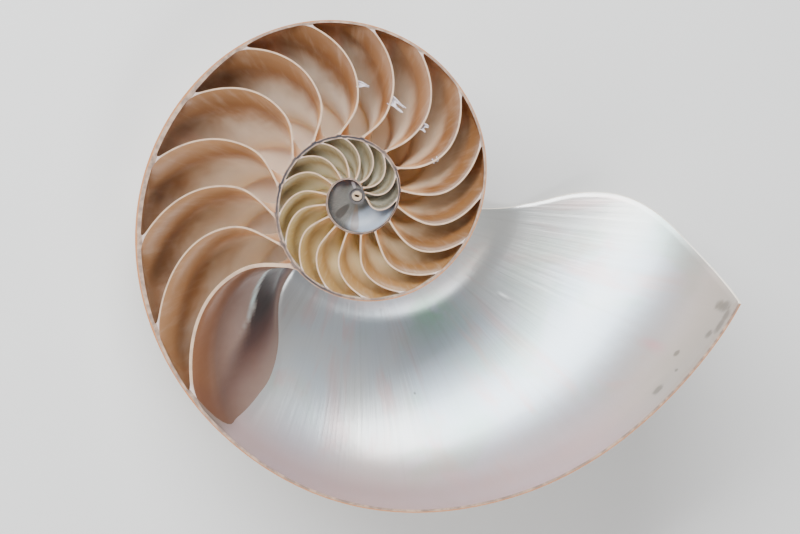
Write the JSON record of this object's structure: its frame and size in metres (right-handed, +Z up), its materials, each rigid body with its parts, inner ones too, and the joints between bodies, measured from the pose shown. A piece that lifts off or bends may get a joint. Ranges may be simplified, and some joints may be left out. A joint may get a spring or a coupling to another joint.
{
  "type": "nautilus shell half",
  "caption": "Half of a chambered nautilus shell, cut through its middle plane so the spiral of chambers lies open, resting on its rounded side.",
  "frame": {"origin": "middle of the footprint of the whole half, on the surface it rests on", "axes": "+Z up from the surface, on the side where the shortest extent lies, with the cut face looking up about fourteen degrees off level; +X along the longest extent, towards the tip of the opening; +Y across, towards the top of the coil"},
  "size_m": [0.1626, 0.1342, 0.0561],
  "materials": {
    "shell_half": "glossy nacre inside, smooth porcelain outside"
  },
  "bodies": {
    "root": {"shell_half": "shell_half"}
  },
  "joints": []
}
